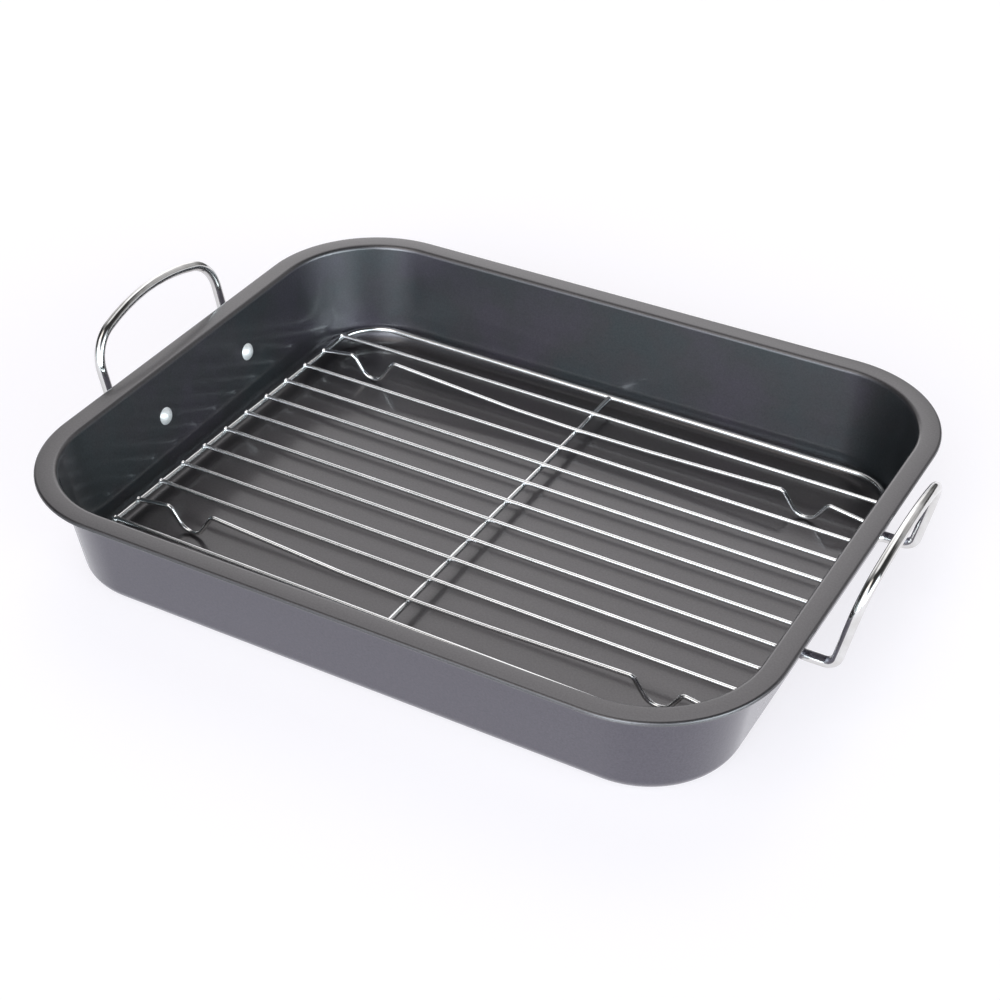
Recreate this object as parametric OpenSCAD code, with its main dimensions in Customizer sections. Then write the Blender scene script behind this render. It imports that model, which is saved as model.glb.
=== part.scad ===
// Roasting pan: a deep-drawn sheet steel pan with a wide flat rim, two riveted
// wire handles and a loose wire rack that stands inside on four bent feet.
// X runs along the pan, Y across it, Z up. The pan stands on Z = 0.

/* [Pan] */
// Length over the rim
pan_length = 430; // [390:5:480]
// Width over the rim
pan_width = 346; // [310:2:390]
// Height of the rim's top above the table
pan_height = 64.5; // [56:0.5:80]
// Thickness of the sheet
sheet_t = 1; // [0.8:0.1:1.2]
// Radius of the rim's outer corners
corner_r = 71; // [60:1:85]
// Distance from the rim's outer edge to the foot of the wall, at mid sheet
wall_inset = 21.9; // [18:0.1:26]
// Width of the flat rim, from its outer edge to the wall, at mid sheet
rim_w = 12.1; // [10:0.1:14]
// Radius between floor and wall, at mid sheet
cove_r = 9.5; // [7:0.5:12]
// Radius between wall and rim, at mid sheet
lip_r = 2.5; // [2:0.1:4]
// Radius of the rim's rolled outer edge, at mid sheet
edge_r = 1; // [0.8:0.1:1.4]
// How far the rolled edge is turned in under the rim
edge_turn_in = 2.6; // [2.3:0.1:3.4]

/* [Handles] */
// Diameter of the handle wire
handle_d = 6; // [5:0.1:7]
// Distance between the two legs of a handle
leg_spacing = 111; // [96:1:120]
// Height of the legs and rivets above the table
leg_z = 36; // [32:0.5:40]
// How far the legs reach out past the rim's outer edge
leg_reach = 7.5; // [6:0.5:14]
// Bend radius between the legs and the loop, at the middle of the wire
leg_bend_r = 7; // [5:0.5:9]
// Bend radius of the legs where they turn along the wall
end_bend_r = 5; // [4:0.5:6]
// Length of the loop from the legs to the top of the grip
loop_length = 57.5; // [48:0.5:70]
// Outward lean of the loop, in degrees
loop_lean = 12; // [5:0.5:18]
// Radius of the loop's two upper corners
loop_corner_r = 22; // [14:1:26]
// Radius of the grip's long curve
grip_r = 130; // [100:5:200]
// How far the left handle sits off the middle of the pan's end
left_shift = 4.5; // [-6:0.5:6]
// How far the right handle sits off the middle of the pan's end
right_shift = 1; // [-6:0.5:6]

/* [Rivets] */
// How far the rivets sit inside the handle's legs
rivet_inset = 14.75; // [14:0.25:20]
// Diameter of the rivet's shank
rivet_d = 5; // [4:0.1:5.6]
// Diameter of the rivet's round head inside the pan
rivet_head_d = 10.5; // [9:0.1:12]
// Height of the rivet's round head
rivet_head_h = 2.8; // [2:0.1:3.2]
// Diameter of the rivet's closing head outside
rivet_tail_d = 8; // [7:0.1:9]
// Height of the rivet's closing head
rivet_tail_h = 1.6; // [1:0.1:2]
// Thickness of the handle's flattened ends
tab_t = 2.6; // [2:0.1:3.2]
// Width of the handle's flattened ends
tab_w = 11; // [10:0.1:12.4]
// Length over which the wire is flattened
flatten_l = 4.5; // [3:0.5:5]

/* [Rack] */
// Diameter of the frame's wire
frame_d = 3.6; // [3.2:0.1:4.4]
// Diameter of the wire across the middle
cross_d = 3.2; // [2.8:0.1:3.8]
// Diameter of the long wires
wire_d = 2.6; // [2.2:0.1:3]
// Number of long wires
wire_count = 12; // [8:1:14]
// Free space between the rack's end rails and the pan's wall
rack_end_gap = 8.2; // [7.7:0.5:16.2]
// Free space between the rack's long sides and the pan's wall
rack_side_gap = 11.5; // [10.5:0.5:20]
// Radius of the frame's corners, at the middle of the wire
frame_corner_r = 27; // [20:1:32]
// Distance from the frame's long sides to the outermost long wires
edge_space = 25; // [22:0.5:32]
// How far the long wires reach past the middle of the frame's end rails
wire_reach = -0.2; // [-0.5:0.1:4]
// Height of the long wires above the feet, centre to centre
rack_rise = 9.7; // [8:0.1:14]
// How far the cross wire lies off the rack's middle, towards the right end
cross_shift = -2.8; // [-6:0.2:6]
// How deep crossing wires are fused into each other
weld_sink = 0.3; // [0.2:0.05:0.5]
// How far the rack lies off the pan's middle, lengthwise
rack_shift_x = 0.6; // [-3:0.2:3]
// How far the rack lies off the pan's middle, sideways
rack_shift_y = 5.6; // [-5.6:0.2:5.6]
// How far the rack lies turned in the pan, in degrees
rack_turn = -0.9; // [-0.9:0.1:0.9]

/* [Feet] */
// Distance from the end rails to the middle of the feet
foot_inset = 38.4; // [35.9:0.5:60.4]
// How far the feet stand off the rack's middle, towards the right end
foot_shift = -0.5; // [-3:0.1:3]
// Bend radius at the bottom of a foot
foot_r = 9.5; // [7:0.5:11]
// Slope of a foot's sides, in degrees
foot_slope = 56; // [50:1:60]
// How far the shoulders on the end side of a foot stand above the other wires
shoulder_rise = 3.2; // [1.5:0.1:4]
// How far the left feet's shoulders on the middle's side stand above the other wires
left_inner_rise = 6; // [3:0.1:7]
// How far the right feet's shoulders on the middle's side stand above the other wires
right_inner_rise = 3.8; // [3:0.1:7]
// Bend radius of the shoulders
shoulder_r = 3.5; // [3:0.1:4]
// Distance from the rack's middle to where a foot wire begins to rise
knee_x = 45; // [40:1:60]
// How far a foot wire stands above the other wires there
knee_rise = 0.8; // [0.5:0.1:1]
// Bend radius of a foot wire's slight bends
easy_r = 150; // [120:10:180]
// Gap between the feet and the pan's floor
foot_gap = 0.3; // [0.2:0.05:0.4]

/* [Hidden] */
$fn = 64;

coating = "#5f5e66";
chrome = "#d9dadc";
rivet_metal = "#e3e3e1";

// Steps in a quarter turn of a bend in the sheet
bend_steps = 8;
// Straight pieces of wire shorter than this share of the wire's diameter are left out
min_rod_share = 0.001;
// A wire is this much thicker in its bends, and its straights reach this far into them
bend_swell = 0.02;
bend_lap = 0.1;
// Straight piece between the grip's long curve and its corners
grip_join = 1;
// Gap between the wall and the handle's wire beside its flattened end
wall_gap = 0.3;

// The pan's wall, as a line at mid sheet. u runs inwards from the rim's outer edge.
half_t = sheet_t / 2;
wall_foot = [wall_inset, half_t];
wall_top = [rim_w, pan_height - half_t];
wall_dir = (wall_top - wall_foot) / norm(wall_top - wall_foot);
draft = atan2(wall_inset - rim_w, pan_height - sheet_t);
floor_edge = wall_inset + cove_r;

// Distance from the rim's outer edge to the wall at height z, at mid sheet
function wall_u(z) = wall_inset - (z - half_t) * tan(draft);
// The same to the wall's inner and outer face
function wall_in_u(z) = wall_u(z) + half_t / cos(draft);
function wall_out_u(z) = wall_u(z) - half_t / cos(draft);

// Handle places, with x from the middle of the pan and y from the middle of the handle
leg_y = leg_spacing / 2;
rivet_y = leg_y - rivet_inset;
face_x = pan_length / 2 - wall_out_u(leg_z);
leg_x = pan_length / 2 + leg_reach;
end_x = face_x + (handle_d / 2 + wall_gap) / cos(draft);
end_run = leg_y - end_bend_r - rivet_y;
grip_half_angle =
    asin((leg_y - loop_corner_r) / norm([grip_r - loop_corner_r, grip_join]))
    - atan2(grip_join, grip_r - loop_corner_r);
corner_turn = 90 - grip_half_angle;
side_run =
    loop_corner_r * tan(corner_turn / 2) + grip_join + grip_r * tan(grip_half_angle);
peak = loop_length + grip_r / cos(grip_half_angle) - grip_r;

// Rack places, measured from the middle of the rack
foot_z = sheet_t + foot_gap + wire_d / 2;
wire_z = foot_z + rack_rise;
frame_z = wire_z - wire_d / 2 - frame_d / 2 + weld_sink;
cross_z = wire_z - wire_d / 2 - cross_d / 2 + weld_sink;
rail_x = pan_length / 2 - wall_in_u(wire_z) - rack_end_gap - frame_d / 2;
wire_end_x = rail_x + wire_reach;
side_y = pan_width / 2 - wall_in_u(frame_z) - rack_side_gap - frame_d / 2;
wire_step = 2 * (side_y - edge_space) / (wire_count - 1);
foot_tip_z = foot_z - foot_r * (1 / cos(foot_slope) - 1);

function handle_shift(end) = end < 0 ? left_shift : right_shift;
function unit(v) = v / norm(v);
function turn_angle(a, b) = acos(min(1, a * b));

// Points of one side of a bent sheet. The corners of the middle line are p, their
// bend radii r, and off is the distance to the left of the line.
function sheet_side(p, r, off) = [
    for (i = [0 : len(p) - 1])
        let (
            a = i > 0 ? unit(p[i] - p[i - 1]) : unit(p[1] - p[0]),
            b = i < len(p) - 1 ? unit(p[i + 1] - p[i]) : a,
            left = [-a[1], a[0]],
            turn = turn_angle(a, b),
            way = a[0] * b[1] - a[1] * b[0] >= 0 ? 1 : -1
        )
        each i == 0 || i == len(p) - 1
            ? [p[i] + left * off]
            : let (
                start = p[i] - a * r[i] * tan(turn / 2),
                centre = start + left * way * r[i],
                steps = ceil(bend_steps * turn / 90)
            )
            [
                for (k = [0 : steps])
                    let (s = turn * k / steps)
                    centre + (a * way * sin(s) - left * cos(s)) * (way * r[i] - off)
            ]
];

function reversed(list) = [for (i = [len(list) - 1 : -1 : 0]) list[i]];

function sheet_outline(p, r) =
    concat(sheet_side(p, r, half_t), reversed(sheet_side(p, r, -half_t)));

// Section of the pan's wall, from its floor to the rolled edge
wall_section = sheet_outline(
    [
        [floor_edge, half_t],
        wall_foot,
        wall_top,
        [half_t, pan_height - half_t],
        [half_t, pan_height - half_t - 2 * edge_r],
        [edge_turn_in, pan_height - half_t - 2 * edge_r],
    ],
    [0, cove_r, lip_r, edge_r, edge_r, 0]
);

// Plan of the flat floor, inside the curved foot of the walls
module floor_plan() {
    r = corner_r - floor_edge;
    length = pan_length - 2 * floor_edge;
    width = pan_width - 2 * floor_edge;
    square([length - 2 * r, width], center = true);
    square([length, width - 2 * r], center = true);
    for (x = [-1, 1], y = [-1, 1])
        translate([x * (length / 2 - r), y * (width / 2 - r)])
            circle(r);
}

// The section with the rim's outer edge at zero and the pan's inside towards -X
module wall_profile() {
    polygon([for (p = wall_section) [-p[0], p[1]]]);
}

// One straight wall of the given length, centred, its rim's edge at distance out
module straight_wall(length, out) {
    translate([out, length / 2, 0])
        rotate([90, 0, 0])
            linear_extrude(length)
                wall_profile();
}

module corner_wall() {
    rotate_extrude(angle = 90)
        translate([corner_r, 0])
            wall_profile();
}

// Puts its children at a rivet's place, with +Z along the rivet, out of the pan
module at_rivet(end, side) {
    translate([end * face_x, handle_shift(end) + side * rivet_y, leg_z])
        rotate([0, end * (90 + draft), 0])
            children();
}

module rivet_hole() {
    translate([0, 0, -sheet_t - tab_t])
        cylinder(h = sheet_t + 3 * tab_t, d = rivet_d);
}

module pan_body() {
    color(coating)
        difference() {
            union() {
                linear_extrude(sheet_t)
                    floor_plan();
                for (turn = [0, 180]) {
                    rotate(turn)
                        straight_wall(pan_width - 2 * corner_r, pan_length / 2);
                    rotate(turn + 90)
                        straight_wall(pan_length - 2 * corner_r, pan_width / 2);
                    rotate(turn)
                        translate([pan_length / 2 - corner_r, pan_width / 2 - corner_r, 0])
                            corner_wall();
                    rotate(turn)
                        translate([corner_r - pan_length / 2, pan_width / 2 - corner_r, 0])
                            rotate(90)
                                corner_wall();
                }
            }
            for (end = [-1, 1], side = [-1, 1])
                at_rivet(end, side)
                    rivet_hole();
        }
}

// A straight round wire from a to b
module rod(a, b, d) {
    v = b - a;
    if (norm(v) > d * min_rod_share)
        translate(a)
            rotate([0, acos(v[2] / norm(v)), atan2(v[1], v[0])])
                cylinder(h = norm(v), d = d);
}

// A round wire's bend at corner p, between the directions a and b
module elbow(p, a, b, r, d) {
    turn = turn_angle(a, b);
    n = unit(cross(a, b));
    out = cross(a, n);
    c = p - a * r * tan(turn / 2) - out * r;
    multmatrix([
        [out[0], a[0], n[0], c[0]],
        [out[1], a[1], n[1], c[1]],
        [out[2], a[2], n[2], c[2]],
        [0, 0, 0, 1],
    ])
        rotate_extrude(angle = turn)
            translate([r, 0])
                circle(d = d);
}

// A bent round wire of diameter d along the corners p, whose bend radii are r
module bent_wire(p, r, d) {
    last = len(p) - 1;
    dirs = [for (i = [0 : last - 1]) unit(p[i + 1] - p[i])];
    cut = [
        for (i = [0 : last])
            i == 0 || i == last ? 0 : r[i] * tan(turn_angle(dirs[i - 1], dirs[i]) / 2)
    ];
    lap = [for (i = [0 : last]) i == 0 || i == last ? 0 : bend_lap];
    for (i = [0 : last - 1])
        rod(
            p[i] + dirs[i] * (cut[i] - lap[i]),
            p[i + 1] - dirs[i] * (cut[i + 1] - lap[i + 1]),
            d
        );
    for (i = [1 : last - 1])
        elbow(p[i], dirs[i - 1], dirs[i], r[i], d + bend_swell);
}

// A point of the handle's leaning loop, at y across and s up the loop
function loop_point(y, s) = [leg_x + s * sin(loop_lean), y, leg_z + s * cos(loop_lean)];

// Half of a handle's corners, from the top of the grip down to the flattened end
function handle_half(side) = [
    loop_point(side * side_run * cos(grip_half_angle), peak - side_run * sin(grip_half_angle)),
    loop_point(side * leg_y, 0),
    [end_x, side * leg_y, leg_z],
    [end_x, side * (leg_y - end_bend_r - bend_lap), leg_z],
];

// The flattened end of a handle: an eye lying on the outside of the pan's wall, and
// the wire's taper into it
module handle_end(side) {
    start = side * (end_run + bend_lap);
    half = handle_d / 2 + bend_swell;
    up = (handle_d / 2 + wall_gap) * tan(draft);
    translate([face_x, side * rivet_y, leg_z])
        rotate([0, 90 + draft, 0])
            intersection() {
                linear_extrude(handle_d + 2 * wall_gap) {
                    circle(d = tab_w);
                    polygon([
                        [-tab_w / 2, 0],
                        [tab_w / 2, 0],
                        [half - up, start],
                        [-half - up, start],
                    ]);
                }
                translate([-tab_w, 0, 0])
                    rotate([90, 0, 90])
                        linear_extrude(2 * tab_w)
                            polygon([
                                [-side * tab_w, 0],
                                [start, 0],
                                [start, wall_gap + handle_d + bend_swell],
                                [side * (end_run - flatten_l), tab_t],
                                [-side * tab_w, tab_t],
                            ]);
            }
}

// One handle, drawn at the +X end for a left handle (end = -1) or a right one
module handle(end) {
    color(chrome)
        difference() {
            translate([0, handle_shift(end), 0])
                union() {
                    bent_wire(
                        concat(
                            reversed(handle_half(1)),
                            [loop_point(0, peak)],
                            handle_half(-1)
                        ),
                        [
                            0, end_bend_r, leg_bend_r, loop_corner_r,
                            grip_r,
                            loop_corner_r, leg_bend_r, end_bend_r, 0
                        ],
                        handle_d
                    );
                    for (side = [-1, 1])
                        handle_end(side);
                }
            translate([0, handle_shift(end) - handle_shift(1), 0])
                for (side = [-1, 1])
                    at_rivet(1, side)
                        rivet_hole();
        }
}

module handle_right() {
    handle(1);
}

module handle_left() {
    mirror([1, 0, 0])
        handle(-1);
}

// A round cap of diameter d and height h on Z = 0
module cap(d, h) {
    ball_r = (d * d / 4 + h * h) / (2 * h);
    intersection() {
        translate([0, 0, h - ball_r])
            sphere(ball_r);
        cylinder(h = h, d = d);
    }
}

module rivet(end, side) {
    color(rivet_metal)
        at_rivet(end, side) {
            translate([0, 0, -sheet_t])
                cylinder(h = sheet_t + tab_t, d = rivet_d);
            translate([0, 0, -sheet_t])
                mirror([0, 0, 1])
                    cap(rivet_head_d, rivet_head_h);
            translate([0, 0, tab_t])
                cap(rivet_tail_d, rivet_tail_h);
        }
}

// Puts the rack where it lies in the pan
module in_pan() {
    translate([rack_shift_x, rack_shift_y, 0])
        rotate(rack_turn)
            children();
}

module rack_frame() {
    run_x = rail_x - frame_corner_r + bend_lap;
    run_y = side_y - frame_corner_r + bend_lap;
    color(chrome)
        in_pan()
            translate([0, 0, frame_z])
                for (end = [-1, 1]) {
                    rod([end * rail_x, -run_y, 0], [end * rail_x, run_y, 0], frame_d);
                    rod([-run_x, end * side_y, 0], [run_x, end * side_y, 0], frame_d);
                    for (side = [-1, 1])
                        elbow(
                            [end * rail_x, side * side_y, 0],
                            [0, side, 0],
                            [-end, 0, 0],
                            frame_corner_r,
                            frame_d + bend_swell
                        );
                }
}

module rack_cross_wire() {
    reach = side_y - frame_d / 2 + weld_sink;
    color(chrome)
        in_pan()
            rod([cross_shift, -reach, cross_z], [cross_shift, reach, cross_z], cross_d);
}

// Place of a long wire across the rack, counted from the front
function wire_y(i) = (i - (wire_count + 1) / 2) * wire_step;

module rack_wire(i) {
    color(chrome)
        in_pan()
            rod([-wire_end_x, wire_y(i), wire_z], [wire_end_x, wire_y(i), wire_z], wire_d);
}

function inner_rise(end) = end < 0 ? left_inner_rise : right_inner_rise;
// How far to the side a foot's slope reaches, up to a shoulder of the given rise
function slope_run(rise) = (wire_z + rise - foot_tip_z) / tan(foot_slope);

// Half of a foot wire's corners, from its end to the rack's middle
function foot_half(end, y) =
    let (x = end * (rail_x - foot_inset) + foot_shift)
    [
        [end * wire_end_x, y, wire_z],
        [end * (rail_x - frame_d), y, wire_z],
        [x + end * slope_run(shoulder_rise), y, wire_z + shoulder_rise],
        [x, y, foot_tip_z],
        [x - end * slope_run(inner_rise(end)), y, wire_z + inner_rise(end)],
        [end * knee_x, y, wire_z + knee_rise],
    ];

module rack_foot_wire(i) {
    y = wire_y(i);
    color(chrome)
        in_pan()
            bent_wire(
                concat(foot_half(-1, y), [[0, y, wire_z]], reversed(foot_half(1, y))),
                [
                    0, foot_r, shoulder_r, foot_r, shoulder_r, easy_r,
                    easy_r,
                    easy_r, shoulder_r, foot_r, shoulder_r, foot_r, 0
                ],
                wire_d
            );
}

pan_body();
handle_left();
handle_right();
rivet(-1, -1);  // rivet_left_front
rivet(-1, 1);  // rivet_left_rear
rivet(1, -1);  // rivet_right_front
rivet(1, 1);  // rivet_right_rear
rack_frame();
rack_cross_wire();
rack_foot_wire(2);  // rack_foot_wire_front
rack_foot_wire(wire_count - 1);  // rack_foot_wire_rear
// The straight wires: all but the second and the last but one, which carry the feet
straight_wires = [for (i = [1 : wire_count]) if (i != 2 && i != wire_count - 1) i];
for (k = [1 : len(straight_wires)])
    rack_wire(straight_wires[k - 1]);
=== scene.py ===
"""A roasting pan with a loose wire rack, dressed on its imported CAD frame. Lengths are in metres."""

import bpy
import numpy as np
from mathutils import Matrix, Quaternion, Vector


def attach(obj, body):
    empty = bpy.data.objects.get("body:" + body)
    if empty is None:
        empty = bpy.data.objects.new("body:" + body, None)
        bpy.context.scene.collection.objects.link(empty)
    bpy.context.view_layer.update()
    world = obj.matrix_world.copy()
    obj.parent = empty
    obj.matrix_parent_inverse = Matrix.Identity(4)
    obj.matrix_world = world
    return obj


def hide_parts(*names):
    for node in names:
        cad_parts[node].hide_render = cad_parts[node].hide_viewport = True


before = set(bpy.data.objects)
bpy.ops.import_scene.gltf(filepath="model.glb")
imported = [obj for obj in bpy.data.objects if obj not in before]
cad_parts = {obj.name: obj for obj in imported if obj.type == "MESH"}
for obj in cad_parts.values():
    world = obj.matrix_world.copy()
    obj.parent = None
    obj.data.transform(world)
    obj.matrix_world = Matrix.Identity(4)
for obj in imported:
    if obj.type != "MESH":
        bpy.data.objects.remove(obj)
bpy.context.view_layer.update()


# ---- Pan body ----
# The pan is one deep drawing in 1 mm steel sheet: a flat floor, a curved foot, walls that lean
# outwards, a wide flat rim and an edge that is rolled under. A satin non-stick coat covers it all.
# One section of the sheet is carried round a rounded rectangle, and the floor closes it.

PAN_LENGTH, PAN_WIDTH, PAN_HEIGHT = 0.430, 0.346, 0.0645
SHEET = 0.001
RIM_CORNER = 0.071
WALL_FOOT, WALL_TOP = 0.0219, 0.0121  # the mid-line's corners, in from the rim's outer edge
FLOOR_START = 0.060  # the floor further in than this is one flat face
FOOT_BEND, LIP_BEND, EDGE_BEND = 0.0095, 0.0025, 0.001
EDGE_TURN_IN = 0.0026
CORNER_STEPS, SIDE_POINTS = 28, 10


def bent_line(corners, bends, steps):
    """A line with rounded corners, as points and unit normals to its left.

    At each corner an arc of the given bend radius touches both legs; it starts at
    bend * tan(half the turn) before the corner and is sampled at equal angles."""
    corners = np.asarray(corners, float)
    legs = np.diff(corners, axis=0)
    legs /= np.linalg.norm(legs, axis=1, keepdims=True)
    left = np.stack([-legs[:, 1], legs[:, 0]], axis=1)
    points, normals = [corners[:1]], [left[:1]]
    for k in range(1, len(corners) - 1):
        turn = np.arctan2(
            legs[k - 1, 0] * legs[k, 1] - legs[k - 1, 1] * legs[k, 0], legs[k - 1] @ legs[k]
        )
        start = corners[k] - legs[k - 1] * bends[k] * np.tan(abs(turn) / 2)
        centre = start + left[k - 1] * np.sign(turn) * bends[k]
        a = np.linspace(0, turn, steps[k] + 1)[:, None]
        n = left[k - 1] * np.cos(a) - legs[k - 1] * np.sin(a)
        points.append(centre - n * np.sign(turn) * bends[k])
        normals.append(n)
    points.append(corners[-1:])
    normals.append(left[-1:])
    return np.concatenate(points), np.concatenate(normals)


def sheet_section():
    """The sheet's closed section: the mid-line moved half a sheet to either side, joined round the
    rolled edge by a half circle. u is the distance in from the rim's outer edge, z the height."""
    half = SHEET / 2
    top = PAN_HEIGHT - half
    line, side = bent_line(
        [
            (FLOOR_START, half),
            (WALL_FOOT, half),
            (WALL_TOP, top),
            (half, top),
            (half, top - 2 * EDGE_BEND),
            (EDGE_TURN_IN, top - 2 * EDGE_BEND),
        ],
        [0, FOOT_BEND, LIP_BEND, EDGE_BEND, EDGE_BEND, 0],
        [0, 14, 10, 8, 8, 0],
    )
    inner, outer = line - side * half, line + side * half
    a = np.linspace(0, np.pi, 7)[1:-1, None]
    end = line[-1] + half * (-side[-1] * np.cos(a) + [[1.0, 0.0]] * np.sin(a))
    return np.concatenate([inner, end, outer[::-1]])


def round_the_corners(section, length, width, radius):
    """Carries section points (u, z) round a rounded rectangle: point = corner centre
    + (radius - u) * (cos t, sin t), so every inset keeps the same corner centres.
    Returns a grid of points, one row for each section point."""
    cx, cy = length / 2 - radius, width / 2 - radius
    t, x, y = [], [], []
    centres = [(cx, cy), (-cx, cy), (-cx, -cy), (cx, -cy)]
    for k, (px, py) in enumerate(centres):
        a = np.pi / 2 * (k + np.linspace(0, 1, CORNER_STEPS + 1))
        t.append(a)
        x.append(np.full(a.shape, px))
        y.append(np.full(a.shape, py))
        qx, qy = centres[(k + 1) % 4]
        s = np.linspace(0, 1, SIDE_POINTS + 2)[1:-1]
        t.append(np.full(s.shape, a[-1]))
        x.append(px + (qx - px) * s)
        y.append(py + (qy - py) * s)
    t, x, y = map(np.concatenate, (t, x, y))
    reach = radius - section[:, :1]
    z = np.broadcast_to(section[:, 1:], (len(section), len(t)))
    return np.stack([x + reach * np.cos(t), y + reach * np.sin(t), z], axis=2)


def grid_faces(rows, columns, close_rows=False, close_columns=False):
    """Quads of a grid of points numbered row by row, closed round either way where asked."""
    i = np.arange(rows if close_rows else rows - 1)
    j = np.arange(columns if close_columns else columns - 1)
    i, j = [g.ravel() for g in np.meshgrid(i, j, indexing="ij")]
    i2, j2 = (i + 1) % rows, (j + 1) % columns
    corners = [i * columns + j, i * columns + j2, i2 * columns + j2, i2 * columns + j]
    return np.stack(corners, axis=1)


def rings_faces(rows, columns, closed=False):
    """Faces of a stack of rings, each joined to the next; the end rings are filled when open."""
    faces = grid_faces(rows, columns, close_rows=closed, close_columns=True).tolist()
    if not closed:
        faces.append(list(range(columns))[::-1])
        faces.append(list(range((rows - 1) * columns, rows * columns)))
    return faces


def make_piece(name, points, faces, material):
    """A smooth mesh object at the origin from points and a list of faces, with one material."""
    mesh = bpy.data.meshes.new(name)
    mesh.from_pydata(np.asarray(points, float).reshape(-1, 3).tolist(), [], faces)
    mesh.polygons.foreach_set("use_smooth", np.full(len(mesh.polygons), True))
    mesh.materials.append(material)
    mesh.update()
    piece = bpy.data.objects.new(name, mesh)
    bpy.context.scene.collection.objects.link(piece)
    return piece


def new_material(name):
    """A node material, with its node tree and its Principled shader."""
    material = bpy.data.materials.new(name)
    material.use_nodes = True
    return material, material.node_tree, material.node_tree.nodes["Principled BSDF"]


def node(tree, kind, **settings):
    """Adds a node, with input sockets set by name and node properties by attribute."""
    made = tree.nodes.new(kind)
    for key, value in settings.items():
        if key in made.inputs:
            made.inputs[key].default_value = value
        else:
            setattr(made, key, value)
    return made


def noise(tree, **settings):
    """A noise from 0 to 1 that is fixed to the piece."""
    place = node(tree, "ShaderNodeTexCoord")
    made = node(tree, "ShaderNodeTexNoise", **settings)
    tree.links.new(place.outputs["Object"], made.inputs["Vector"])
    return made.outputs["Fac"]


def ramp(tree, share, stops):
    """The colours that a share from 0 to 1 runs through; each stop is a position and a colour."""
    made = node(tree, "ShaderNodeValToRGB")
    elements = made.color_ramp.elements
    for extra in stops[2:]:
        elements.new(0.5)
    for element, (position, colour) in zip(elements, stops):
        element.position, element.color = position, (*colour, 1)
    tree.links.new(share, made.inputs["Fac"])
    return made.outputs["Color"]


def between(tree, share, low, high):
    """A share from 0 to 1 turned into a value from low to high."""
    made = node(tree, "ShaderNodeMapRange")
    made.inputs["To Min"].default_value, made.inputs["To Max"].default_value = low, high
    tree.links.new(share, made.inputs["Value"])
    return made.outputs["Result"]


def raised(tree, shader, height, strength, depth):
    """Gives a shader a bump from a height."""
    bump = node(tree, "ShaderNodeBump", Strength=strength, Distance=depth)
    tree.links.new(height, bump.inputs["Height"])
    tree.links.new(bump.outputs["Normal"], shader.inputs["Normal"])


def satin_coat():
    """The baked non-stick coat: dark grey with fine metal flakes, under a thin clear gloss. On the
    walls it is darker and drifts between teal and violet: the coat's own uneven tone under painted
    shade and a painted sheen of the cool light from the front. The pan's outside is painted paler and
    more violet for the cool front light that falls on it."""
    material, tree, shader = new_material("satin_coat")
    link = tree.links.new
    drift = noise(tree, Scale=15.0, Detail=4.0, Roughness=0.6)
    # the walls' colours, darker than the flat parts: the coat's own uneven tone with painted shade
    # and a painted sheen of the cool front light
    teal, middle, violet = (0.052, 0.068, 0.076), (0.062, 0.063, 0.072), (0.075, 0.066, 0.090)
    tint = ramp(tree, drift, [(0.38, teal), (0.5, middle), (0.62, violet)])
    upright = node(tree, "ShaderNodeAttribute", attribute_name="upright")
    plain = node(tree, "ShaderNodeMix", data_type="RGBA")
    link(upright.outputs["Fac"], plain.inputs["Factor"])
    plain.inputs[6].default_value = (0.092, 0.087, 0.091, 1)
    link(tint, plain.inputs[7])
    # the pan's outside painted paler and more violet: painted light of the cool light from the front
    outside = node(tree, "ShaderNodeAttribute", attribute_name="outside")
    outside_painted_light = node(tree, "ShaderNodeMix", data_type="RGBA")
    link(outside.outputs["Fac"], outside_painted_light.inputs["Factor"])
    link(plain.outputs[2], outside_painted_light.inputs[6])
    outside_painted_light.inputs[7].default_value = (0.100, 0.093, 0.116, 1)
    flakes = noise(tree, Scale=900.0, Detail=2.0, Roughness=0.7)
    grained = node(tree, "ShaderNodeVectorMath", operation="SCALE")
    link(outside_painted_light.outputs[2], grained.inputs[0])
    link(between(tree, flakes, 0.72, 1.28), grained.inputs["Scale"])
    link(grained.outputs["Vector"], shader.inputs["Base Color"])
    link(between(tree, drift, 0.36, 0.44), shader.inputs["Roughness"])
    raised(tree, shader, noise(tree, Scale=900.0, Detail=2.0), 0.10, 0.0004)
    shader.inputs["Metallic"].default_value = 0.90
    shader.inputs["IOR"].default_value = 1.55
    shader.inputs["Coat Weight"].default_value = 1.0
    shader.inputs["Coat Roughness"].default_value = 0.14
    shader.inputs["Coat IOR"].default_value = 1.40
    return material


section = sheet_section()
pan_grid = round_the_corners(section, PAN_LENGTH, PAN_WIDTH, RIM_CORNER)
rows, columns = pan_grid.shape[:2]
# the section runs from the inner floor out to the edge and back underneath, which leaves the faces
# pointing inwards, so each is turned
pan_faces = [face[::-1] for face in rings_faces(rows, columns)]
pan = make_piece("pan_skin", pan_grid, pan_faces, satin_coat())
# the outside starts at the rolled edge: the second half of the section's rows. There the coat is
# painted paler and more violet for the cool front light
outside = np.repeat(np.clip((np.arange(rows) - rows * 0.5) / 4.0, 0, 1), columns)
pan.data.attributes.new("outside", "FLOAT", "POINT").data.foreach_set("value", outside)
# upright is 1 on the walls and runs out to 0 over the foot's bend and the lip's; it lays the walls'
# painted shade and painted sheen over the coat
height = section[:, 1]
above_foot = np.clip(height / FOOT_BEND - 0.2, 0, 1)
below_lip = np.clip((PAN_HEIGHT - height) / LIP_BEND - 0.4, 0, 1)
upright = np.repeat(above_foot * below_lip, columns)
pan.data.attributes.new("upright", "FLOAT", "POINT").data.foreach_set("value", upright)
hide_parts("pan_body")
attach(pan, "pan")


# ---- Handles ----
# Each handle is one chromed steel wire, bent to a leaning loop. Its two ends turn in along the
# pan's end wall, where they are pressed to flat eyes and riveted on.

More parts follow.
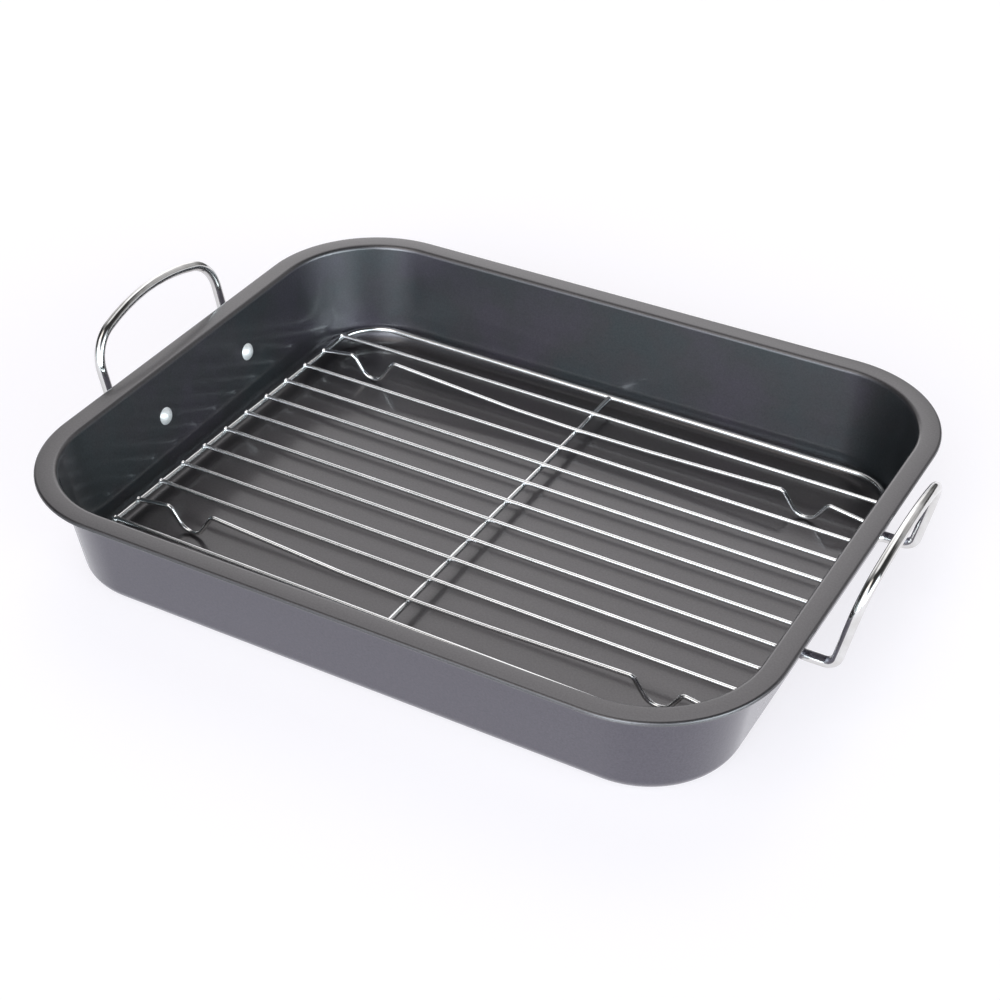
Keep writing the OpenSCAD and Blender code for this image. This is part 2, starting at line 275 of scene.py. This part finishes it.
HANDLE_WIRE = 0.006
HANDLE_LEG_Y, HANDLE_LEG_X, HANDLE_Z = 0.0555, 0.2225, 0.036
HANDLE_LEAN = np.radians(12.0)
GRIP_HALF_ANGLE, SIDE_RUN, LOOP_PEAK = np.radians(17.54), 0.0582, 0.06384
GRIP_BEND, LOOP_BEND, LEG_BEND, END_BEND = 0.130, 0.022, 0.007, 0.005
HANDLE_SHIFT = {"left": 0.0045, "right": 0.001}
WALL_FACE_X, WALL_DRAFT = 0.199085, np.radians(8.773)
RIVET_Y = 0.04075
EYE_THICK, EYE_WIDE = 0.0026, 0.011
# places along y, counted from the rivet: the pressing's start and end, the flat's two ends, and
# the angles at which the round tip is sampled
TAPER_START, TAPER_END = 0.00965, 0.00525
FLAT_FROM, FLAT_TO = 0.0046, -0.0045
TIP_ANGLES = np.radians([62, 70, 78, 84, 88])
WIRE_CLEAR, EYE_CLEAR = 0.0003, 0.00002  # from the wall to the round wire, and to the eye
TIP_THICK, EYE_SQUARE = 0.55, 0.62  # the tip's share of the eye's thickness; how square the eye is


def bent_path(corners, bends, step):
    """A line in space with rounded corners: an arc of the given radius at each corner, in the plane
    of its two legs: point = start + r * (n (1 - cos a) + t sin a), with t along the first leg and n
    across it."""
    corners = np.asarray(corners, float)
    legs = np.diff(corners, axis=0)
    legs /= np.linalg.norm(legs, axis=1, keepdims=True)
    parts = [corners[:1]]
    for k in range(1, len(corners) - 1):
        t, after = legs[k - 1], legs[k]
        turn = np.arccos(np.clip(t @ after, -1, 1))
        n = after - (after @ t) * t
        n /= np.linalg.norm(n)
        start = corners[k] - t * bends[k] * np.tan(turn / 2)
        a = np.linspace(0, turn, int(np.ceil(turn / step)) + 1)[:, None]
        parts.append(start + bends[k] * (n * (1 - np.cos(a)) + t * np.sin(a)))
    parts.append(corners[-1:])
    return np.concatenate(parts)


def spaced(path, gap):
    """The same line with points added on its straights, so that none is longer than gap."""
    parts = [path[:1]]
    for a, b in zip(path[:-1], path[1:]):
        count = max(1, int(np.ceil(np.linalg.norm(b - a) / gap)))
        parts.append(a + (b - a) * (np.arange(1, count + 1) / count)[:, None])
    return np.concatenate(parts)


def wire_frames(path, closed=False):
    """Two unit vectors across a path at each point, carried along without twisting: the first is
    the last one less its part along the new tangent, and the second is square to both."""
    if closed:
        ahead, behind = np.roll(path, -1, axis=0), np.roll(path, 1, axis=0)
    else:
        ahead = np.vstack([path[1:], 2 * path[-1:] - path[-2:-1]])
        behind = np.vstack([2 * path[:1] - path[1:2], path[:-1]])
    one, two = path - behind, ahead - path
    one /= np.linalg.norm(one, axis=1, keepdims=True)
    two /= np.linalg.norm(two, axis=1, keepdims=True)
    tangent = one + two
    tangent /= np.linalg.norm(tangent, axis=1, keepdims=True)
    across = np.empty_like(tangent)
    last = np.eye(3)[np.argmin(np.abs(tangent[0]))]
    for k, t in enumerate(tangent):
        last = last - (last @ t) * t
        last = last / np.linalg.norm(last)
        across[k] = last
    return across, np.cross(tangent, across)


def swept(path, one, two, half_one, half_two, around, square=1.0):
    """Rings of a wire: path + one * half_one * c + two * half_two * s, where c and s are the cosine
    and sine of the angle, each drawn outwards to the power square. 1 gives an ellipse, less gives
    flatter sides."""
    a = np.linspace(0, 2 * np.pi, around, endpoint=False)
    square = np.broadcast_to(np.asarray(square, float), (len(path),))[:, None]
    c = np.sign(np.cos(a)) * np.abs(np.cos(a)) ** square
    s = np.sign(np.sin(a)) * np.abs(np.sin(a)) ** square
    c = (c * np.asarray(half_one).reshape(-1, 1))[..., None]
    s = (s * np.asarray(half_two).reshape(-1, 1))[..., None]
    return path[:, None] + one[:, None] * c + two[:, None] * s


def rings_piece(name, rings, material, closed=False):
    """A piece from rings of points."""
    return make_piece(name, rings, rings_faces(*rings.shape[:2], closed), material)


def bright_metal(name, metallic, cloud, dull, bright, haze, wave, strength, depth):
    """Bright metal with procedural detail: the cloud noise runs its colour from dull to bright and
    its roughness over the haze, and the wave noise, or else the cloud, ripples its surface."""
    material, tree, shader = new_material(name)
    shader.inputs["Metallic"].default_value = metallic
    share = noise(tree, **cloud)
    tree.links.new(ramp(tree, share, [(0.3, dull), (0.7, bright)]), shader.inputs["Base Color"])
    tree.links.new(between(tree, share, *haze), shader.inputs["Roughness"])
    raised(tree, shader, noise(tree, **wave) if wave else share, strength, depth)
    return material


def handle_rings(shift, end):
    """Rings of one handle at the end wall on the side of end (1 right, -1 left)."""
    lean = np.array([np.sin(HANDLE_LEAN), 0, np.cos(HANDLE_LEAN)])

    def loop(y, up):
        return np.array([HANDLE_LEG_X, y, HANDLE_Z]) + lean * up

    out = np.array([np.cos(WALL_DRAFT), 0, -np.sin(WALL_DRAFT)])
    up = np.array([np.sin(WALL_DRAFT), 0, np.cos(WALL_DRAFT)])
    half, eye = HANDLE_WIRE / 2, EYE_WIDE / 2
    end_x = WALL_FACE_X + (half + WIRE_CLEAR) / np.cos(WALL_DRAFT)
    shoulder_y = SIDE_RUN * np.cos(GRIP_HALF_ANGLE)
    shoulder_up = LOOP_PEAK - SIDE_RUN * np.sin(GRIP_HALF_ANGLE)
    side = [
        (end_x, RIVET_Y + TAPER_START, HANDLE_Z),
        (end_x, HANDLE_LEG_Y, HANDLE_Z),
        loop(HANDLE_LEG_Y, 0),
        loop(shoulder_y, shoulder_up),
    ]
    corners = side + [loop(0, LOOP_PEAK)] + [np.array(c) * (1, -1, 1) for c in side[::-1]]
    bends = [0, END_BEND, LEG_BEND, LOOP_BEND, GRIP_BEND, LOOP_BEND, LEG_BEND, END_BEND, 0]
    path = spaced(bent_path(corners, bends, np.radians(4)), 0.004)
    one, two = wire_frames(path)
    # the frames are turned about the wire, evenly along it, to meet the eyes' faces at both ends
    turn = np.unwrap([np.arctan2(out @ two[k], out @ one[k]) for k in (0, -1)])
    run = np.concatenate([[0], np.cumsum(np.linalg.norm(np.diff(path, axis=0), axis=1))])
    a = (turn[0] + (turn[1] - turn[0]) * run / run[-1])[:, None]
    one, two = one * np.cos(a) + two * np.sin(a), two * np.cos(a) - one * np.sin(a)
    rings = swept(path, one, two, half, half, 24)
    # from the end of the round wire to the eye's tip: w is the distance from the rivet along y
    w = np.concatenate([
        np.linspace(TAPER_START, TAPER_END, 9)[1:],
        np.linspace(FLAT_FROM, FLAT_TO, 12),
        -eye * np.sin(TIP_ANGLES),
    ])
    press = np.clip((TAPER_START - w) / (TAPER_START - TAPER_END), 0, 1)
    press = press * press * (3 - 2 * press)
    thick = half + (EYE_THICK / 2 - half) * press
    round_eye = np.sqrt(np.clip(eye**2 - np.where(w < 0, w, 0) ** 2, 1e-10, None))
    wide = half + (round_eye - half) * press
    tip = EYE_THICK / 2 * (TIP_THICK + (1 - TIP_THICK) * wide / eye)
    thick = np.where(w < FLAT_TO, tip, thick)
    lift = (half + WIRE_CLEAR) + (EYE_THICK / 2 + EYE_CLEAR - half - WIRE_CLEAR) * press
    ends = []
    for sign, ref in ((1, rings[0]), (-1, rings[-1])):
        path = np.array([WALL_FACE_X, 0, HANDLE_Z]) + out * lift[:, None]
        path[:, 1] = sign * (RIVET_Y + w)
        # the ring runs the same way round as the wire's own rings
        cross = up * np.sign((ref[6] - ref.mean(0)) @ up)
        one, two = np.tile(out, (len(w), 1)), np.tile(cross, (len(w), 1))
        ends.append(swept(path, one, two, thick, wide, 24, 1 - EYE_SQUARE * press))
    rings = np.concatenate([ends[0][::-1], rings, ends[1]])
    rings = rings + np.array([0, shift, 0])
    return rings if end > 0 else (rings * (-1, 1, 1))[:, ::-1]


# bright chrome on drawn wire: a mirror with very fine draw marks and a slight haze
chrome = bright_metal(
    "handle_chrome", 1.0, {"Scale": 120.0, "Detail": 3.0}, (0.70, 0.69, 0.67), (0.80, 0.80, 0.79),
    (0.06, 0.14), {"Scale": 260.0, "Detail": 2.0}, 0.10, 0.0003,
)
for label, end in (("left", -1), ("right", 1)):
    handle = rings_piece(f"{label}_handle_wire", handle_rings(HANDLE_SHIFT[label], end), chrome)
    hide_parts(f"handle_{label}")
    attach(handle, "pan")


# ---- Rivets ----
# Four solid aluminium rivets hold the handles. The round head is inside the pan, and the shank is
# headed over on the handle's eye outside.

RIVET_HEAD_D, RIVET_HEAD_H = 0.0105, 0.0028
RIVET_TAIL_D, RIVET_TAIL_H = 0.008, 0.0016
SHANK_D = 0.005
# a head's underside as a share of its width, and how far the shank's ends sink into the heads
BRIM_SHARE, SHANK_SEAT = 0.985, 0.0001


def rivet_profile():
    """Radius and height along a rivet from the top of its inner head to its closing head. Each head
    is a round cap, c(r) = sqrt(R^2 - r^2) - R + H with R = (r0^2 + H^2) / 2H, softened at its brim
    to c (1 - 0.08 (r / r0)^2) + 0.04 H (r / r0)^6."""

    def cap(d, h):
        r0 = d / 2
        ball = (r0 * r0 + h * h) / (2 * h)
        r = r0 * np.sin(np.linspace(0.0, np.pi / 2, 11)[1:])
        z = np.sqrt(ball * ball - r * r) - ball + h
        return np.column_stack([r, z * (1 - 0.08 * (r / r0) ** 2) + 0.04 * h * (r / r0) ** 6])

    head, tail = cap(RIVET_HEAD_D, RIVET_HEAD_H), cap(RIVET_TAIL_D, RIVET_TAIL_H)
    head[:, 1] = -SHEET - head[:, 1]
    tail[:, 1] = EYE_THICK + tail[:, 1]
    head_brim = [[RIVET_HEAD_D / 2 * BRIM_SHARE, -SHEET]]
    tail_brim = [[RIVET_TAIL_D / 2 * BRIM_SHARE, EYE_THICK]]
    shank = [[SHANK_D / 2, -SHEET + SHANK_SEAT], [SHANK_D / 2, EYE_THICK - SHANK_SEAT]]
    return np.concatenate([head, head_brim, shank, tail_brim, tail[::-1]])


# bright aluminium with a slightly hammered skin
aluminium = bright_metal(
    "rivet_metal", 0.45, {"Scale": 420.0, "Detail": 3.0}, (0.84, 0.84, 0.83), (0.95, 0.95, 0.95),
    (0.28, 0.45), None, 0.25, 0.0003,
)
profile = rivet_profile()
a = np.linspace(0, 2 * np.pi, 36, endpoint=False)
for label, end in (("left", -1), ("right", 1)):
    for row, side in (("front", -1), ("rear", 1)):
        out = np.array([end * np.cos(WALL_DRAFT), 0, -np.sin(WALL_DRAFT)])
        along = np.array([0, 1.0, 0])
        up = np.cross(out, along)
        centre = np.array([end * WALL_FACE_X, HANDLE_SHIFT[label] + side * RIVET_Y, HANDLE_Z])
        round_it = along * np.cos(a)[:, None] + up * np.sin(a)[:, None]
        rings = centre + out * profile[:, 1, None, None] + profile[:, 0, None, None] * round_it
        rivet = rings_piece(f"{label}_{row}_rivet", rings, aluminium)
        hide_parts(f"rivet_{label}_{row}")
        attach(rivet, "pan")


# ---- Rack frame ----
# The rack's rim is one steel wire bent round to a ring with four round corners. The whole rack is
# chromed after welding, and it lies a little turned and off the middle of the pan.

FRAME_WIRE, FRAME_Z = 0.0036, 0.0095
RAIL_X, SIDE_Y, FRAME_BEND = 0.184415, 0.138683, 0.027
RACK_TURN, RACK_SHIFT = np.radians(-0.9), np.array([0.0006, 0.0056, 0.0])


def lay_rack(points):
    """Turns points about Z by the rack's turn and moves them to where the rack lies."""
    c, s = np.cos(RACK_TURN), np.sin(RACK_TURN)
    return points @ np.array([[c, s, 0], [-s, c, 0], [0, 0, 1]]) + RACK_SHIFT


def rack_piece(name, rings, cad_node, closed=False):
    """A wire of the rack, laid in place and joined to the rack's body."""
    piece = rings_piece(name, lay_rack(rings), plate, closed)
    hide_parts(cad_node)
    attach(piece, "rack")


# chrome plate on welded wire: bright, with a thin haze and the plate's faint ripple
plate = bright_metal(
    "rack_chrome", 1.0, {"Scale": 90.0, "Detail": 4.0}, (0.76, 0.77, 0.77), (0.90, 0.90, 0.90),
    (0.12, 0.24), {"Scale": 700.0, "Detail": 2.0}, 0.12, 0.0002,
)
ring = [(RAIL_X, 0, FRAME_Z), (RAIL_X, SIDE_Y, FRAME_Z), (-RAIL_X, SIDE_Y, FRAME_Z),
        (-RAIL_X, -SIDE_Y, FRAME_Z), (RAIL_X, -SIDE_Y, FRAME_Z), (RAIL_X, 0, FRAME_Z)]
path = spaced(bent_path(ring, [0] + [FRAME_BEND] * 4 + [0], np.radians(4)), 0.006)[:-1]
one, two = wire_frames(path, closed=True)
rings = swept(path, one, two, FRAME_WIRE / 2, FRAME_WIRE / 2, 20)
rack_piece("rack_rim_wire", rings, "rack_frame", closed=True)


# ---- Rack cross wire ----
# One straight steel wire lies under the long wires. It is sheared off at both ends, and welded to
# the frame's two long sides and to every long wire.

CROSS_WIRE, CROSS_X, CROSS_Z, WELD_SINK = 0.0032, -0.0028, 0.0097, 0.0003
WIRE_SIDES = 18
CUT, BEAD_PLACE, BEAD_SPREAD = 0.0003, 0.0009, 0.0007
# distances from a wire's end at which its end is sampled, and where its even steps begin
END_STEPS = np.array([0, 0.0001, 0.0002, 0.0004, 0.0007, 0.0010, 0.0014, 0.0019, 0.0026])
EVEN_START, EVEN_STEP = 0.0035, 0.004


def end_radius(s, half, bead):
    """Radius at the distance s from a wire's sheared end, which is slightly rounded and swells to a
    weld bead: half * sqrt(1 - 0.6 (1 - s / CUT)^2) * (1 + bead * exp(-(d / spread)^2)), where d is
    the distance from the bead's middle."""
    rounded = np.sqrt(1 - 0.6 * (1 - np.clip(s / CUT, 0, 1)) ** 2)
    return half * rounded * (1 + bead * np.exp(-(((s - BEAD_PLACE) / BEAD_SPREAD) ** 2)))


def cut_wire(start, stop, half, bead=0.0):
    """Rings of a straight wire, finer near its two sheared ends."""
    start, stop = np.asarray(start, float), np.asarray(stop, float)
    length = np.linalg.norm(stop - start)
    inner = np.linspace(EVEN_START, length - EVEN_START, int(length / EVEN_STEP))
    s = np.concatenate([END_STEPS, inner, length - END_STEPS[::-1]])
    path = start + (stop - start) * (s / length)[:, None]
    one, two = wire_frames(path)
    radius = end_radius(np.minimum(s, length - s), half, bead)
    return swept(path, one, two, radius, radius, WIRE_SIDES)


reach = SIDE_Y - FRAME_WIRE / 2 + WELD_SINK
rings = cut_wire((CROSS_X, -reach, CROSS_Z), (CROSS_X, reach, CROSS_Z), CROSS_WIRE / 2)
rack_piece("rack_middle_wire", rings, "rack_cross_wire")


# ---- Rack foot wires ----
# The second and the last but one long wire are bent down near each end to a round foot, with a
# raised shoulder on either side of it. The rack stands in the pan on these four feet.

LONG_WIRE, LONG_Z, WIRE_STEP, WIRE_COUNT = 0.0026, 0.0123, 0.0206696, 12
WIRE_END_X, WELD_BEAD = 0.184215, 0.24
FOOT_Z, FOOT_INSET, FOOT_SHIFT, FOOT_SLOPE = 0.0026, 0.0384, -0.0005, np.radians(56.0)
FOOT_R, SHOULDER_R, EASY_R = 0.0095, 0.0035, 0.150
OUTER_RISE, INNER_RISE = 0.0032, {-1: 0.006, 1: 0.0038}
KNEE_X, KNEE_RISE = 0.045, 0.0008
LEAST_GAP = 0.0002  # between the finely sampled end and the bent path's next point


def foot_wire_corners(y):
    """Corners of a foot wire in the rack's own frame, from its left end to its right end."""
    tip = FOOT_Z - FOOT_R * (1 / np.cos(FOOT_SLOPE) - 1)
    halves = []
    for end in (-1, 1):
        x = end * (RAIL_X - FOOT_INSET) + FOOT_SHIFT
        outer, inner = LONG_Z + OUTER_RISE, LONG_Z + INNER_RISE[end]
        halves.append([
            (end * WIRE_END_X, y, LONG_Z),
            (end * (RAIL_X - FRAME_WIRE), y, LONG_Z),
            (x + end * (outer - tip) / np.tan(FOOT_SLOPE), y, outer),
            (x, y, tip),
            (x - end * (inner - tip) / np.tan(FOOT_SLOPE), y, inner),
            (end * KNEE_X, y, LONG_Z + KNEE_RISE),
        ])
    return halves[0] + [(0, y, LONG_Z)] + halves[1][::-1]


half_bends = [0, FOOT_R, SHOULDER_R, FOOT_R, SHOULDER_R, EASY_R]
for label, number in (("front", 2), ("rear", WIRE_COUNT - 1)):
    corners = foot_wire_corners((number - (WIRE_COUNT + 1) / 2) * WIRE_STEP)
    bends = half_bends + [EASY_R] + half_bends[::-1]
    path = spaced(bent_path(corners, bends, np.radians(6)), 0.005)
    # the sheared and welded ends are as on the straight wires
    along = END_STEPS[:, None] * [1, 0, 0]
    path = path[np.abs(path[:, 0]) < WIRE_END_X - END_STEPS[-1] - LEAST_GAP]
    path = np.concatenate([corners[0] + along, path, (corners[-1] - along)[::-1]])
    radius = end_radius(WIRE_END_X - np.abs(path[:, 0]), LONG_WIRE / 2, WELD_BEAD)
    one, two = wire_frames(path)
    rings = swept(path, one, two, radius, radius, WIRE_SIDES)
    rack_piece(f"rack_{label}_foot_wire", rings, f"rack_foot_wire_{label}")


# ---- Rack long wires ----
# Ten straight wires of the same stock lie across the end rails and the cross wire. Each is
# resistance welded at every crossing, and sheared off on the rails, with a bead at each end.

straight = [i for i in range(1, WIRE_COUNT + 1) if i not in (2, WIRE_COUNT - 1)]
for number, i in enumerate(straight, 1):
    y = (i - (WIRE_COUNT + 1) / 2) * WIRE_STEP
    ends = (-WIRE_END_X, y, LONG_Z), (WIRE_END_X, y, LONG_Z)
    rings = cut_wire(*ends, LONG_WIRE / 2, WELD_BEAD)
    rack_piece(f"rack_long_wire_{number}", rings, f"rack_wire_{number}")


# ---- Studio ----
# A large white table, a dim room with soft lights round it, and the photograph's camera. To the
# camera and in the gloss the table is nearly plain white, with a faint shadow.

TABLE_REACH = 6.0
TABLE_GLOW, GLOW_SHARE = 1.275, 0.55
# seen in a gloss, the table is dimmer on the left than on the right: the place and the share there
DIM_LEFT, DIM_RIGHT = (-0.25, 0.55), (0.22, 1.05)

table_mesh = bpy.data.meshes.new("table")
corners = [(-TABLE_REACH, -TABLE_REACH, 0), (TABLE_REACH, -TABLE_REACH, 0),
           (TABLE_REACH, TABLE_REACH, 0), (-TABLE_REACH, TABLE_REACH, 0)]
table_mesh.from_pydata(corners, [], [(0, 1, 2, 3)])
table = bpy.data.objects.new("table", table_mesh)
bpy.context.scene.collection.objects.link(table)
white, tree, shader = new_material("white_table")
link = tree.links.new
shader.inputs["Base Color"].default_value = (0.80, 0.79, 0.81, 1)
shader.inputs["Roughness"].default_value = 0.7
ray = node(tree, "ShaderNodeLightPath")
seen = node(tree, "ShaderNodeMath", operation="ADD", use_clamp=True)
link(ray.outputs["Is Camera Ray"], seen.inputs[0])
place = node(tree, "ShaderNodeTexCoord")
apart = node(tree, "ShaderNodeSeparateXYZ")
link(place.outputs["Object"], apart.inputs[0])
dimmer = node(tree, "ShaderNodeMapRange")
link(apart.outputs["X"], dimmer.inputs["Value"])
names = ("From Min", "To Min", "From Max", "To Max")
for name, value in zip(names, DIM_LEFT + DIM_RIGHT):
    dimmer.inputs[name].default_value = value
gloss = node(tree, "ShaderNodeMath", operation="MULTIPLY")
link(ray.outputs["Is Glossy Ray"], gloss.inputs[0])
link(dimmer.outputs["Result"], gloss.inputs[1])
link(gloss.outputs[0], seen.inputs[1])
share = node(tree, "ShaderNodeMath", operation="MULTIPLY")
link(seen.outputs[0], share.inputs[0])
share.inputs[1].default_value = GLOW_SHARE
glow = node(tree, "ShaderNodeEmission", Color=(0.99, 0.965, 1.0, 1), Strength=TABLE_GLOW)
both = node(tree, "ShaderNodeMixShader")
link(share.outputs[0], both.inputs[0])
link(shader.outputs[0], both.inputs[1])
link(glow.outputs[0], both.inputs[2])
link(both.outputs[0], tree.nodes["Material Output"].inputs["Surface"])
table_mesh.materials.append(white)

# each soft light of the room: its azimuth and elevation in degrees and the light at its middle,
# which falls off smoothly to nothing at its edge. Azimuth 0 is at the pan's right end and -90 is in
# front: a bright band lies low in front and on the right, weaker lights stand above it, and the
# pale ones are behind
ROOM = 0.04
HALF_WIDTH = np.radians(22.0)
COOL, PALE_BLUE = (0.90, 1.03, 1.07), (0.94, 0.99, 1.07)
PLAIN, WARM = (1.0, 0.99, 1.0), (1.06, 1.0, 0.94)
SOFT_LIGHTS = [
    (-130, 8, 0.46, COOL), (-108, 8, 0.40, COOL), (-86, 8, 6.1, COOL), (-42, 8, 2.9, COOL),
    (-20, 8, 6.6, COOL), (2, 8, 4.9, COOL), (120, 8, 0.74, PLAIN), (138, 8, 1.00, PLAIN),
    (-100, 24, 3.1, PALE_BLUE), (-75, 24, 3.7, PALE_BLUE), (-50, 24, 0.30, PALE_BLUE),
    (-25, 24, 0.75, PALE_BLUE), (0, 24, 0.95, PALE_BLUE), (118, 24, 0.75, PLAIN),
    (150, 30, 0.50, PLAIN), (-120, 42, 0.90, PLAIN), (-80, 42, 1.15, PALE_BLUE),
    (95, 42, 0.50, PLAIN), (118, 42, 0.85, PLAIN), (-110, 62, 1.55, WARM),
    (118, 62, 1.05, PLAIN), (170, 62, 0.25, PLAIN), (46, 10, 0.40, PLAIN),
    (62, 32, 0.45, PLAIN), (86, 22, 0.25, PLAIN),
]

world = bpy.context.scene.world or bpy.data.worlds.new("room")
bpy.context.scene.world = world
world.use_nodes = True
tree = world.node_tree
link = tree.links.new
way = node(tree, "ShaderNodeTexCoord")
total = node(tree, "ShaderNodeVectorMath", operation="ADD")
total.inputs[0].default_value, total.inputs[1].default_value = (ROOM, ROOM, ROOM), (0, 0, 0)
for around, above, light, tint in SOFT_LIGHTS:
    around, above = np.radians(around), np.radians(above)
    middle = (np.cos(around) * np.cos(above), np.sin(around) * np.cos(above), np.sin(above))
    facing = node(tree, "ShaderNodeVectorMath", operation="DOT_PRODUCT")
    link(way.outputs["Generated"], facing.inputs[0])
    facing.inputs[1].default_value = middle
    soft = node(tree, "ShaderNodeMapRange", interpolation_type="SMOOTHSTEP")
    link(facing.outputs["Value"], soft.inputs["Value"])
    soft.inputs["From Min"].default_value = np.cos(HALF_WIDTH)
    soft.inputs["To Max"].default_value = light
    tinted = node(tree, "ShaderNodeVectorMath", operation="SCALE")
    tinted.inputs[0].default_value = tint
    link(soft.outputs["Result"], tinted.inputs["Scale"])
    more = node(tree, "ShaderNodeVectorMath", operation="ADD")
    link(total.outputs[0], more.inputs[0])
    link(tinted.outputs[0], more.inputs[1])
    total = more
link(total.outputs[0], tree.nodes["Background"].inputs["Color"])

# the camera looks at a point on the table from this way round, this high and this far
AZIMUTH, ELEVATION, ROLL, DISTANCE = 0.5131, 0.6243, -0.0019, 1.15449
SENSOR, FOCAL = 36.0, 2.00141  # the sensor in millimetres, and the focal length in sensor widths
target = Vector((-0.012846, 0.029369, 0.0))
level = np.cos(ELEVATION)
back = Vector((np.sin(AZIMUTH) * level, -np.cos(AZIMUTH) * level, np.sin(ELEVATION)))
camera = bpy.data.objects.new("camera", bpy.data.cameras.new("camera"))
bpy.context.scene.collection.objects.link(camera)
camera.data.sensor_width = SENSOR
camera.data.lens = SENSOR * FOCAL
camera.data.clip_start, camera.data.clip_end = 0.05, 50.0
camera.rotation_mode = "QUATERNION"
camera.location = target + back * DISTANCE
camera.rotation_quaternion = (-back).to_track_quat("-Z", "Y") @ Quaternion((0, 0, 1), ROLL)
bpy.context.scene.camera = camera
bpy.context.scene.view_settings.view_transform = "Standard"
